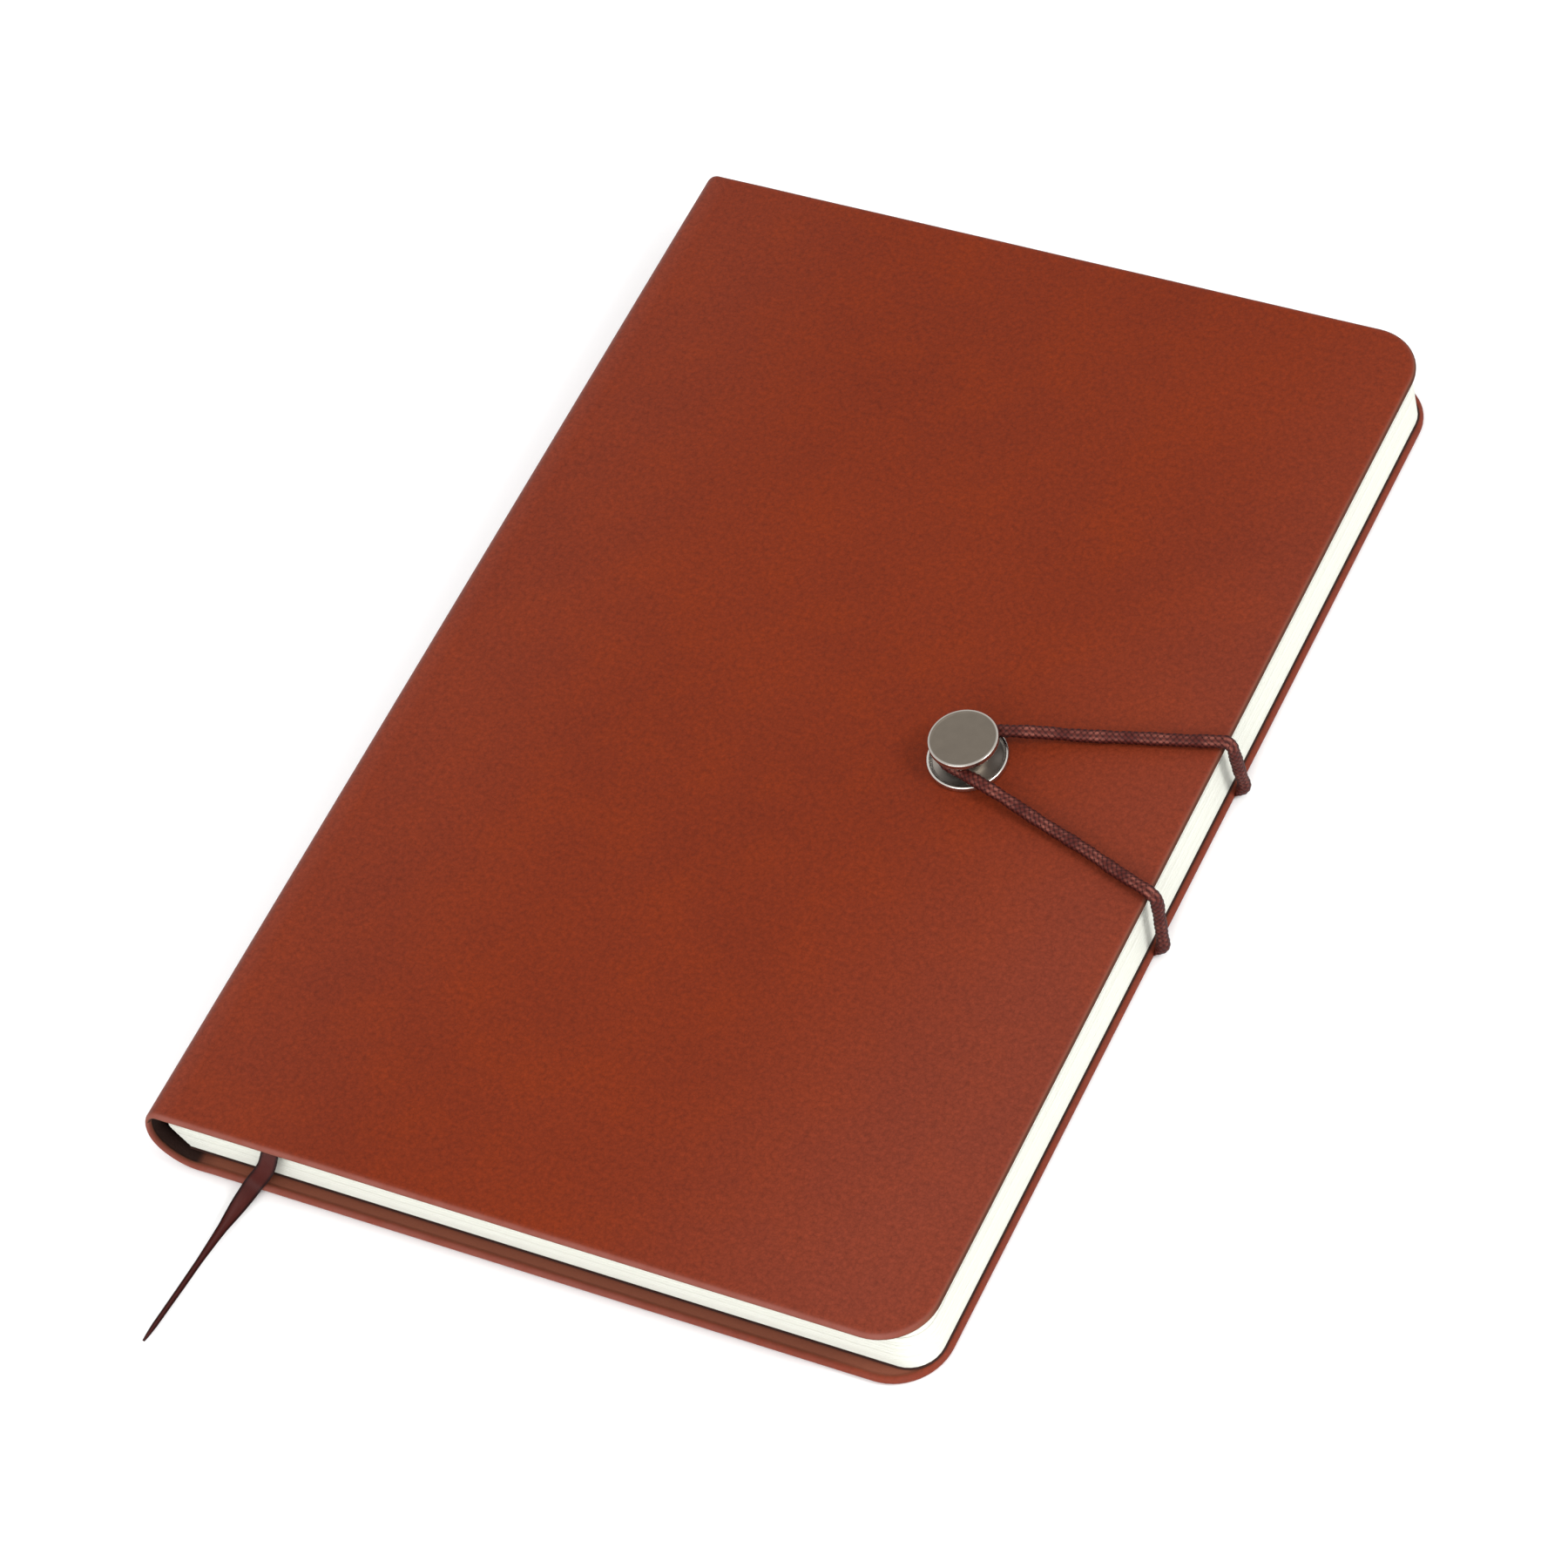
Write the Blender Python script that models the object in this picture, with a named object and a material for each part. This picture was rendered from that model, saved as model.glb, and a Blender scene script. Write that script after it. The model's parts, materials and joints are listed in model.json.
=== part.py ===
"""Leather notebook cover: one leather skin round ten sewn sections of paper, closed by an
elastic cord that loops round a metal button. Every function works in millimetres on the
closed book: x runs from the spine to the fore-edge, y from the tail to the head, z up from
the table. Vertices are turned into metres about the middle of the back cover."""

import math

import bmesh
import bpy
from mathutils import Vector

MM = 0.001
MERGE_DISTANCE = 0.000001
SMOOTH_ANGLE = math.radians(35)

# Cover
COVER_WIDTH = 138.0
COVER_HEIGHT = 210.0
BOOK_THICKNESS = 14.0
COVER_THICKNESS = 1.45
COVER_CORNER = 9.5
FLOOR_THICKNESS = 0.4
LIP_THICKNESS = 0.35
EDGE_WALL = 0.8
LIP_WIDTH = 3.6
EDGE_STEPS = 6
CORNER_STEPS = 10

# Spine curve: a lower and an upper quarter ellipse that meet at the leftmost point
SPINE_LEFT = -0.5
SPINE_MIDDLE = 7.4
LOWER_START = 7.5
UPPER_END = 3.0
SPLIT_ANGLE = 185.7
SPLIT_GAP_ANGLE = 0.8
LOWER_STEPS = 14
UPPER_STEPS = 12
CREASE_GAP = 0.1
STIFFENER_MARGIN = 4.0
STIFFENER_DEPTH = 0.45

# Boards and pasted papers
FLAT_GAP = 0.05
SIDE_GAP = 0.3
BOARD_START = 9.5
FRONT_BOARD_START = 6.5
WINDOW_AFTER_BOARD = 3.0
PASTEDOWN_THICKNESS = 0.3

# Text block
SECTION_COUNT = 10
TURNING_SECTIONS = 2
LEAF_THICKNESS = 0.15
BLOCK_LEFT = 2.2
BLOCK_GAP_FORE = 1.0
BLOCK_GAP_ENDS = 3.1
BLOCK_CORNER = 5.5
BLOCK_TOP_GAP = 0.1
RIBBON_SPACE = 0.3
WALL_CLEARANCE = 0.35
LEAF_AXIS_X = 2.0
MULL_X = (1.88, 2.12)
MULL_BOTTOM = 5.1
MULL_END_GAP = 12.0

# Button
BUTTON_X = 99.2
BUTTON_Y = 105.3
BUTTON_STEPS = 40
SHANK_RADIUS = 2.0
SHANK_HOLE = 2.3
BOARD_HOLE = 4.5
WASHER_RADIUS = 4.2
WASHER_THICKNESS = 0.35
FLANGE_PROFILE = (
    (2.3, 0.05),
    (6.1, 0.05),
    (6.6, 0.3),
    (6.75, 0.65),
    (6.6, 0.95),
    (6.25, 1.12),
    (5.9, 1.0),
    (5.6, 0.7),
    (5.0, 0.55),
    (2.3, 0.55),
)
POST_PROFILE = (
    (0.0, -1.0),
    (2.0, -1.0),
    (2.0, 0.85),
    (2.6, 0.85),
    (2.6, 4.1),
    (3.4, 4.5),
    (0.0, 4.5),
)
CAP_PROFILE = (
    (0.0, 4.55),
    (5.1, 4.55),
    (5.55, 4.72),
    (5.8, 5.1),
    (5.72, 5.45),
    (5.4, 5.72),
    (4.9, 5.8),
    (4.5, 5.72),
    (0.0, 5.7),
)

# Cord
CORD_RADIUS = 1.2
CORD_SIDES = 10
CORD_OUT = 1.5
CORD_ABOVE = 1.5
CORD_AT_BUTTON = 2.6
CORD_NECK_RADIUS = 4.1
CORD_TAIL_Y = (89.1, 89.1)
CORD_HEAD_Y = (122.3, 120.4)
CORD_FOOT_Z = 1.3
RISER_BOTTOM = 2.9
RISER_TOP_GAP = 0.3
SLOT_HALF_WIDTH = 1.95
SLOT_Z = (0.46, 1.04)
NOTCH_HALF_WIDTH = 2.2
NOTCH_DEPTH = 8.4
# Cord end, from outside to inside: distance beyond the fore-edge, z, half height, half width
ANCHOR_STATIONS = (
    (1.5, 2.6, 1.2, 1.2),
    (1.42, 2.0, 1.2, 1.2),
    (1.15, 1.5, 1.1, 1.25),
    (0.75, 1.08, 0.75, 1.4),
    (0.4, 0.84, 0.4, 1.55),
    (0.12, 0.75, 0.2, 1.65),
    (-2.0, 0.75, 0.2, 1.65),
    (-7.6, 0.75, 0.2, 1.65),
)

# Ribbon: x, y, height, width; the inner length's heights are from its rest between sections
RIBBON_THICKNESS = 0.2
RIBBON_INNER = (
    (6.0, 203.0, 0.0, 3.8),
    (14.0, 100.0, 0.0, 3.8),
    (22.0, 3.6, 0.0, 3.8),
    (22.1, 2.6, -0.1, 3.8),
    (21.8, 1.9, -0.9, 3.8),
    (21.0, 1.4, -2.6, 3.8),
    (20.0, 0.9, -5.0, 3.8),
    (19.0, 0.3, -6.9, 3.8),
    (18.3, -0.2, -7.7, 3.8),
)
RIBBON_TAIL = (
    (17.9, -0.8, 1.95, 3.8),
    (17.2, -1.9, 1.5, 3.8),
    (16.2, -4.2, 0.85, 3.8),
    (15.2, -7.0, 0.35, 3.7),
    (14.6, -10.0, 0.15, 3.6),
    (14.5, -17.6, 0.15, 3.4),
    (14.3, -24.5, 0.15, 2.6),
    (14.1, -31.5, 0.15, 0.6),
)
RIBBON_HINGE = (18.1, -0.5, 2.1)

LEATHER = (0.24, 0.045, 0.018)
BOARD = (0.33, 0.27, 0.2)
PAPER = (0.88, 0.86, 0.76)
CLOTH = (0.7, 0.68, 0.62)
METAL = (0.36, 0.33, 0.3)
CORD = (0.07, 0.02, 0.018)
RIBBON = (0.065, 0.014, 0.014)


def to_metres(point):
    """World position in metres of a point of the closed book in millimetres."""
    x, y, z = point
    return Vector(((x - COVER_WIDTH / 2) * MM, (y - COVER_HEIGHT / 2) * MM, z * MM))


def make_material(name, colour, metallic, roughness):
    material = bpy.data.materials.new(name)
    material.use_nodes = True
    shader = material.node_tree.nodes["Principled BSDF"]
    shader.inputs["Base Color"].default_value = (*colour, 1.0)
    shader.inputs["Metallic"].default_value = metallic
    shader.inputs["Roughness"].default_value = roughness
    material.diffuse_color = (*colour, 1.0)
    return material


def finish_object(name, solid, colour=None, origin=None, metallic=0.0, roughness=0.6):
    """Turn a closed bmesh into an object with its own material and its origin at a point."""
    start = to_metres(origin) if origin else Vector((0.0, 0.0, 0.0))
    bmesh.ops.translate(solid, verts=solid.verts, vec=-start)
    bmesh.ops.recalc_face_normals(solid, faces=solid.faces)
    mesh = bpy.data.meshes.new(name)
    solid.to_mesh(mesh)
    solid.free()
    mesh.shade_smooth()
    mesh.set_sharp_from_angle(angle=SMOOTH_ANGLE)
    placed = bpy.data.objects.new(name, mesh)
    placed.location = start
    bpy.context.scene.collection.objects.link(placed)
    if colour:
        mesh.materials.append(make_material(name + "_finish", colour, metallic, roughness))
    return placed


def add_object(name, points, faces, colour=None, origin=None, **finish):
    """One closed solid from its points and faces."""
    solid = bmesh.new()
    corners = [solid.verts.new(to_metres(p)) for p in points]
    for face in faces:
        solid.faces.new([corners[i] for i in face])
    return finish_object(name, solid, colour, origin, **finish)


def cut(target, cutter):
    """Subtract the cutter from the target with an exact Boolean."""
    cutter.hide_render = True
    cutter.display_type = "WIRE"
    modifier = target.modifiers.new("cut", "BOOLEAN")
    modifier.operation = "DIFFERENCE"
    modifier.solver = "EXACT"
    modifier.object = cutter


def arc(centre_x, centre_y, radius, start, end, steps):
    angles = [math.radians(start + (end - start) * i / steps) for i in range(steps + 1)]
    return [(centre_x + radius * math.cos(a), centre_y + radius * math.sin(a)) for a in angles]


def page_loop(x0, x1, y0, y1, radius, z):
    """Outline with square corners at the spine and round ones at the fore-edge.
    It starts at the tail's spine corner and ends at the head's."""
    low = arc(x1 - radius, y0 + radius, radius, -90, 0, CORNER_STEPS)
    high = arc(x1 - radius, y1 - radius, radius, 0, 90, CORNER_STEPS)
    outline = [(x0, y0), *low, *high, (x0, y1)]
    return [(x, y, z) for x, y in outline]


def inset_loop(x0, inset, z):
    """Outline of the cover, moved in by inset on its three free sides."""
    return page_loop(
        x0, COVER_WIDTH - inset, inset, COVER_HEIGHT - inset, COVER_CORNER - inset, z
    )


def bridge(first, second, count, closed=True):
    """Quads between two loops of count points that start at the given indices."""
    last = count if closed else count - 1
    quads = []
    for i in range(last):
        j = (i + 1) % count
        quads.append((first + i, first + j, second + j, second + i))
    return quads


def prism(name, outline, z0, z1, colour, origin=None, **finish):
    """A flat piece: the outline, as (x, y) pairs, extruded between two heights."""
    solid = bmesh.new()
    base = solid.faces.new([solid.verts.new(to_metres((x, y, z0))) for x, y in outline])
    raised = bmesh.ops.extrude_face_region(solid, geom=[base])["geom"]
    lifted = [part for part in raised if isinstance(part, bmesh.types.BMVert)]
    bmesh.ops.translate(solid, verts=lifted, vec=(0.0, 0.0, (z1 - z0) * MM))
    return finish_object(name, solid, colour, origin, **finish)


def edge_rounding():
    """(inset, height) of the rounded edge, from the outer face to the inner one."""
    radius = COVER_THICKNESS / 2
    profile = []
    for k in range(EDGE_STEPS + 1):
        angle = math.radians(-90 + 180 * k / EDGE_STEPS)
        profile.append((radius - radius * math.cos(angle), radius + radius * math.sin(angle)))
    return profile


def spine_point(angle, depth):
    """(x, z) on the spine curve; depth is 0 on the outer face and 1 on the inner one.
    The angle is 270 where the curve leaves the back cover and 90 where it meets the front."""
    thick = COVER_THICKNESS * depth
    if angle > 180:
        centre, rise = LOWER_START, SPINE_MIDDLE - thick
    else:
        centre, rise = UPPER_END, BOOK_THICKNESS - SPINE_MIDDLE - thick
    reach = centre - SPINE_LEFT - thick
    radians = math.radians(angle)
    return centre + reach * math.cos(radians), SPINE_MIDDLE + rise * math.sin(radians)


def inner_wall_x(z):
    """How far right the inner face of the spine reaches at height z."""
    if z < SPINE_MIDDLE:
        centre, rise = LOWER_START, SPINE_MIDDLE - COVER_THICKNESS
    else:
        centre, rise = UPPER_END, BOOK_THICKNESS - SPINE_MIDDLE - COVER_THICKNESS
    reach = centre - SPINE_LEFT - COVER_THICKNESS
    share = min(1.0, abs(z - SPINE_MIDDLE) / rise)
    return centre - reach * math.sqrt(1 - share * share)


def angles_between(start, end, steps):
    return [start + (end - start) * i / steps for i in range(steps + 1)]


def sweep_section(section, angles):
    """The section, as (y, depth) pairs, carried round the spine curve."""
    points = []
    for angle in angles:
        for y, depth in section:
            x, z = spine_point(angle, depth)
            points.append((x, y, z))
    return points


def skin_loops(x0, window_x0, pocket_x0):
    """Loops of a cover's skin for a back cover lying at z 0, outer face first."""
    lip_z = COVER_THICKNESS - LIP_THICKNESS
    loops = [inset_loop(x0, inset, z) for inset, z in edge_rounding()]
    loops.append(inset_loop(window_x0, LIP_WIDTH, COVER_THICKNESS))
    loops.append(inset_loop(window_x0, LIP_WIDTH, lip_z))
    loops.append(inset_loop(pocket_x0, EDGE_WALL, lip_z))
    loops.append(inset_loop(pocket_x0, EDGE_WALL, FLOOR_THICKNESS))
    return loops


def skin_mesh(loops, open_spine):
    """Points and faces of a skin; with open_spine the outer loops stay open at the spine."""
    count = len(loops[0])
    points = [p for loop in loops for p in loop]
    faces = []
    for k in range(len(loops) - 1):
        keep_open = open_spine and k < EDGE_STEPS
        faces += bridge(k * count, (k + 1) * count, count, closed=not keep_open)
    faces.append(tuple(range(count)))
    last = (len(loops) - 1) * count
    faces.append(tuple(range(last, last + count)))
    return points, faces, count


def build_back_leather():
    """Back skin, continued round the lower half of the spine curve as one solid."""
    loops = skin_loops(LOWER_START, BOARD_START + WINDOW_AFTER_BOARD, BOARD_START)
    points, faces, count = skin_mesh(loops, open_spine=True)
    rounding = edge_rounding()
    section = [(inset, z / COVER_THICKNESS) for inset, z in rounding]
    section += [(COVER_HEIGHT - y, depth) for y, depth in reversed(section)]
    previous = [k * count for k in range(EDGE_STEPS + 1)]
    previous += [k * count + count - 1 for k in range(EDGE_STEPS, -1, -1)]
    size = len(section)
    swept = sweep_section(section, angles_between(270, SPLIT_ANGLE, LOWER_STEPS)[1:])
    for step in range(LOWER_STEPS):
        current = [len(points) + i for i in range(size)]
        points += swept[step * size : (step + 1) * size]
        for i in range(size):
            j = (i + 1) % size
            faces.append((previous[i], previous[j], current[j], current[i]))
        previous = current
    faces.append(tuple(previous))
    leather = add_object("back_cover_leather", points, faces, LEATHER, roughness=0.5)
    slots = []
    slot_faces = []
    for y in (CORD_TAIL_Y[0], CORD_HEAD_Y[0]):
        first = len(slots)
        for z in SLOT_Z:
            for x, side in ((-3.0, -1), (2.0, -1), (2.0, 1), (-3.0, 1)):
                slots.append((COVER_WIDTH + x, y + side * SLOT_HALF_WIDTH, z))
        slot_faces += bridge(first, first + 4, 4)
        slot_faces.append((first + 3, first + 2, first + 1, first))
        slot_faces.append((first + 4, first + 5, first + 6, first + 7))
    cut(leather, add_object("cord_slot_cutter", slots, slot_faces))


def turned_over(loops):
    """The same loops for the front cover, whose outer face is the top of the book."""
    return [[(x, y, BOOK_THICKNESS - z) for x, y, z in loop] for loop in loops]


def round_cutter(name, radius, z0, z1):
    outline = arc(BUTTON_X, BUTTON_Y, radius, 0, 360, BUTTON_STEPS)[:-1]
    return prism(name, outline, z0, z1, None)


def build_front_leather(origin):
    window = FRONT_BOARD_START + WINDOW_AFTER_BOARD
    loops = turned_over(skin_loops(UPPER_END + CREASE_GAP, window, FRONT_BOARD_START))
    points, faces, _ = skin_mesh(loops, open_spine=False)
    leather = add_object("front_cover_leather", points, faces, LEATHER, origin, roughness=0.5)
    top = BOOK_THICKNESS
    cut(leather, round_cutter("shank_hole_cutter", SHANK_HOLE, top - 1.0, top + 1.0))


def build_spine(origin):
    """Upper half of the spine curve, with a recess inside for the card strip."""
    half = [(inset, z / COVER_THICKNESS) for inset, z in edge_rounding()]
    recess = 1 - STIFFENER_DEPTH
    section = half + [(STIFFENER_MARGIN, 1.0), (STIFFENER_MARGIN, recess)]
    section += [(COVER_HEIGHT - y, depth) for y, depth in reversed(section)]
    start = SPLIT_ANGLE - SPLIT_GAP_ANGLE
    angles = [start, 182.5, *angles_between(180, 90, UPPER_STEPS)]
    sweep_piece("spine_leather", section, angles, LEATHER, origin)
    low, high = STIFFENER_MARGIN + SIDE_GAP, COVER_HEIGHT - STIFFENER_MARGIN - SIDE_GAP
    strip = [(low, 0.97), (low, recess + 0.04), (high, recess + 0.04), (high, 0.97)]
    strip_angles = angles_between(178, 94, UPPER_STEPS)
    sweep_piece("spine_stiffener", strip, strip_angles, BOARD, origin)


def sweep_piece(name, section, angles, colour, origin):
    size = len(section)
    points = sweep_section(section, angles)
    faces = []
    for step in range(len(angles) - 1):
        faces += bridge(step * size, (step + 1) * size, size)
    faces.append(tuple(range(size)))
    last = len(points) - size
    faces.append(tuple(range(last, last + size)))
    return add_object(name, points, faces, colour, origin)


def board_outline(x0, notches):
    """Board outline with a notch in the fore-edge for each cord end."""
    inset = EDGE_WALL + SIDE_GAP
    outline = [(x, y) for x, y, _ in inset_loop(x0 + SIDE_GAP, inset, 0)]
    middle = len(outline) // 2
    fore = COVER_WIDTH - inset
    deep = COVER_WIDTH - NOTCH_DEPTH
    cuts = []
    for y in notches:
        low, high = y - NOTCH_HALF_WIDTH, y + NOTCH_HALF_WIDTH
        cuts += [(fore, low), (deep, low), (deep, high), (fore, high)]
    return outline[:middle] + cuts + outline[middle:]


def build_boards(front_origin):
    low = FLOOR_THICKNESS + FLAT_GAP
    high = COVER_THICKNESS - LIP_THICKNESS - FLAT_GAP
    notches = (CORD_TAIL_Y[0], CORD_HEAD_Y[0])
    prism("back_cover_board", board_outline(BOARD_START, notches), low, high, BOARD)
    top = BOOK_THICKNESS
    outline = board_outline(FRONT_BOARD_START, ())
    front = prism("front_cover_board", outline, top - high, top - low, BOARD, front_origin)
    cut(front, round_cutter("washer_hole_cutter", BOARD_HOLE, top - 1.5, top))


def build_pastedowns(front_origin):
    low = COVER_THICKNESS - LIP_THICKNESS
    high = low + PASTEDOWN_THICKNESS
    inset = LIP_WIDTH + SIDE_GAP
    after = WINDOW_AFTER_BOARD + SIDE_GAP
    rear = [(x, y) for x, y, _ in inset_loop(BOARD_START + after, inset, 0)]
    prism("rear_pastedown", rear, low, high, PAPER)
    front = [(x, y) for x, y, _ in inset_loop(FRONT_BOARD_START + after, inset, 0)]
    top = BOOK_THICKNESS
    prism("front_pastedown", front, top - high, top - low, PAPER, front_origin)


def block_outline(z0, z1):
    """Outline of a section between two heights, kept clear of the spine's inner face."""
    left = BLOCK_LEFT
    for z in (z0, z1):
        left = max(left, inner_wall_x(z) + WALL_CLEARANCE)
    loop = page_loop(
        left,
        COVER_WIDTH - BLOCK_GAP_FORE,
        BLOCK_GAP_ENDS,
        COVER_HEIGHT - BLOCK_GAP_ENDS,
        BLOCK_CORNER,
        0,
    )
    return [(x, y) for x, y, _ in loop]


def block_levels():
    """(name, bottom, top) of every leaf and section, from the front to the rear."""
    top = BOOK_THICKNESS - COVER_THICKNESS - BLOCK_TOP_GAP
    bottom = COVER_THICKNESS + FLAT_GAP
    plain_gaps = SECTION_COUNT * FLAT_GAP + RIBBON_SPACE
    paper = top - bottom - 2 * LEAF_THICKNESS - plain_gaps
    thickness = paper / SECTION_COUNT
    levels = [("front_flyleaf", top - LEAF_THICKNESS, top)]
    z = top - LEAF_THICKNESS
    for number in range(1, SECTION_COUNT + 1):
        z -= RIBBON_SPACE if number == TURNING_SECTIONS + 1 else FLAT_GAP
        levels.append((f"section_{number:02d}", z - thickness, z))
        z -= thickness
    z -= FLAT_GAP
    levels.append(("rear_flyleaf", z - LEAF_THICKNESS, z))
    return levels


def build_block(levels, leaf_axis):
    for index, (name, z0, z1) in enumerate(levels):
        turning = index <= TURNING_SECTIONS
        origin = leaf_axis if turning else None
        prism(name, block_outline(z0, z1), z0, z1, PAPER, origin, roughness=0.8)
    left, right = MULL_X
    y0, y1 = MULL_END_GAP, COVER_HEIGHT - MULL_END_GAP
    outline = [(left, y0), (right, y0), (right, y1), (left, y1)]
    prism("spine_mull", outline, MULL_BOTTOM, levels[TURNING_SECTIONS + 1][2], CLOTH)


def lathe(name, profile, colour, origin):
    """Round piece spun about the button's axis; heights are above the front cover."""
    solid = bmesh.new()
    corners = []
    for radius, height in profile:
        corners.append(
            solid.verts.new(to_metres((BUTTON_X + radius, BUTTON_Y, BOOK_THICKNESS + height)))
        )
    edges = [solid.edges.new(pair) for pair in zip(corners, corners[1:])]
    if profile[0][0] > 0:
        edges.append(solid.edges.new((corners[-1], corners[0])))
    bmesh.ops.spin(
        solid,
        geom=corners + edges,
        cent=to_metres((BUTTON_X, BUTTON_Y, BOOK_THICKNESS)),
        axis=(0.0, 0.0, 1.0),
        angle=2 * math.pi,
        steps=BUTTON_STEPS,
        use_merge=True,
    )
    bmesh.ops.remove_doubles(solid, verts=solid.verts, dist=MERGE_DISTANCE)
    return finish_object(name, solid, colour, origin, metallic=0.9, roughness=0.35)


def build_button(origin):
    lathe("button_flange", FLANGE_PROFILE, METAL, origin)
    lathe("button_post", POST_PROFILE, METAL, origin)
    lathe("button_cap", CAP_PROFILE, METAL, origin)
    bottom = -(COVER_THICKNESS - LIP_THICKNESS - FLAT_GAP)
    top = bottom + WASHER_THICKNESS
    washer = (
        (SHANK_HOLE, bottom),
        (WASHER_RADIUS, bottom),
        (WASHER_RADIUS, top),
        (SHANK_HOLE, top),
    )
    lathe("button_washer", washer, METAL, origin)


def tube(name, stations, colour, origin=None):
    """Solid along a path. Each station is (point, half height, half width). The width starts
    along y and is carried along the path without twisting."""
    path = [Vector(point) for point, _, _ in stations]
    across = Vector((0.0, 1.0, 0.0))
    points = []
    for i, (_, tall, wide) in enumerate(stations):
        along = (path[min(i + 1, len(path) - 1)] - path[max(i - 1, 0)]).normalized()
        across = (across - across.dot(along) * along).normalized()
        up = along.cross(across)
        for k in range(CORD_SIDES):
            angle = 2 * math.pi * k / CORD_SIDES
            offset = across * (wide * math.cos(angle)) + up * (tall * math.sin(angle))
            points.append(tuple(path[i] + offset))
    faces = []
    for i in range(len(path) - 1):
        faces += bridge(i * CORD_SIDES, (i + 1) * CORD_SIDES, CORD_SIDES)
    last = len(points) - CORD_SIDES
    faces.append(tuple(range(CORD_SIDES)))
    faces.append(tuple(range(last, last + CORD_SIDES)))
    return add_object(name, points, faces, colour, origin, roughness=0.8)


def strand(y_edge, side):
    """Centre points of one strand, from its bend at the fore-edge to the button's neck."""
    fore = COVER_WIDTH
    top = BOOK_THICKNESS
    points = []
    for x, z in arc(fore, top, CORD_ABOVE, 0, 90, 5):
        points.append((x, y_edge, z))
    across, along = y_edge - BUTTON_Y, fore - BUTTON_X
    distance = math.hypot(across, along)
    bearing = math.degrees(math.atan2(across, along))
    touch = bearing + side * math.degrees(math.acos(CORD_NECK_RADIUS / distance))
    end_x = BUTTON_X + CORD_NECK_RADIUS * math.cos(math.radians(touch))
    end_y = BUTTON_Y + CORD_NECK_RADIUS * math.sin(math.radians(touch))
    for share in (0.08, 0.3, 0.5, 0.62, 0.7, 0.77, 0.83, 0.9):
        climb = min(1.0, max(0.0, (share - 0.5) / 0.3))
        smooth = climb * climb * (3 - 2 * climb)
        z = top + CORD_ABOVE + (CORD_AT_BUTTON - CORD_ABOVE) * smooth
        points.append((fore + (end_x - fore) * share, y_edge + (end_y - y_edge) * share, z))
    return points, touch


def build_cord(riser_axis, loop_axis):
    for end, ys in (("tail", CORD_TAIL_Y), ("head", CORD_HEAD_Y)):
        stations = []
        for out, z, tall, wide in ANCHOR_STATIONS:
            stations.append(((COVER_WIDTH + out, ys[0], z), tall, wide))
        tube(f"cord_anchor_{end}", stations, CORD)
        bottom = (COVER_WIDTH + CORD_OUT, ys[0], RISER_BOTTOM)
        top = (COVER_WIDTH + CORD_OUT, ys[1], BOOK_THICKNESS - RISER_TOP_GAP)
        middle = tuple((a + b) / 2 for a, b in zip(bottom, top))
        stations = [(p, CORD_RADIUS, CORD_RADIUS) for p in (bottom, middle, top)]
        tube(f"cord_riser_{end}", stations, CORD, riser_axis)
    head, head_touch = strand(CORD_HEAD_Y[1], 1)
    tail, tail_touch = strand(CORD_TAIL_Y[1], -1)
    turn = arc(BUTTON_X, BUTTON_Y, CORD_NECK_RADIUS, head_touch, tail_touch + 360, 12)
    z = BOOK_THICKNESS + CORD_AT_BUTTON
    path = head + [(x, y, z) for x, y in turn] + tail[::-1]
    stations = [(p, CORD_RADIUS, CORD_RADIUS) for p in path]
    tube("cord_loop", stations, CORD, loop_axis)


def ribbon(name, stations, origin=None):
    """Flat strip through (x, y, z, width) stations, its width kept close to the x axis."""
    path = [Vector(s[:3]) for s in stations]
    points = []
    for i, (_, _, _, width) in enumerate(stations):
        along = (path[min(i + 1, len(path) - 1)] - path[max(i - 1, 0)]).normalized()
        across = (Vector((1, 0, 0)) - along.x * along).normalized() * (width / 2)
        up = along.cross(across).normalized() * (RIBBON_THICKNESS / 2)
        for a, b in ((-1, -1), (1, -1), (1, 1), (-1, 1)):
            points.append(tuple(path[i] + across * a + up * b))
    faces = []
    for i in range(len(path) - 1):
        faces += bridge(4 * i, 4 * i + 4, 4)
    last = len(points) - 4
    faces.append((0, 1, 2, 3))
    faces.append((last, last + 1, last + 2, last + 3))
    return add_object(name, points, faces, RIBBON, origin, roughness=0.5)


def build_ribbon(levels):
    """The marker lies in the space under the last turning section."""
    rest = levels[TURNING_SECTIONS + 1][2] + RIBBON_SPACE / 2
    inner = [(x, y, rest + drop, width) for x, y, drop, width in RIBBON_INNER]
    ribbon("ribbon_inner", inner)
    ribbon("ribbon_tail", RIBBON_TAIL, RIBBON_HINGE)


def build():
    for existing in list(bpy.data.objects):
        bpy.data.objects.remove(existing, do_unlink=True)
    middle = COVER_HEIGHT / 2
    spine_x, spine_z = spine_point(SPLIT_ANGLE, 0)
    spine_axis = (spine_x, middle, spine_z)
    front_axis = (UPPER_END, middle, BOOK_THICKNESS)
    levels = block_levels()
    leaf_axis = (LEAF_AXIS_X, middle, levels[TURNING_SECTIONS][1])
    riser_axis = (COVER_WIDTH + CORD_OUT, middle, CORD_FOOT_Z)
    loop_axis = (COVER_WIDTH + CORD_OUT, middle, BOOK_THICKNESS + CORD_ABOVE)
    build_back_leather()
    build_spine(spine_axis)
    build_front_leather(front_axis)
    build_boards(front_axis)
    build_pastedowns(front_axis)
    build_block(levels, leaf_axis)
    build_button(front_axis)
    build_cord(riser_axis, loop_axis)
    build_ribbon(levels)


build()
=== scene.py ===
import json
import math
import random

import bmesh
import bpy
import numpy as np
from mathutils import Matrix, Vector


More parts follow.
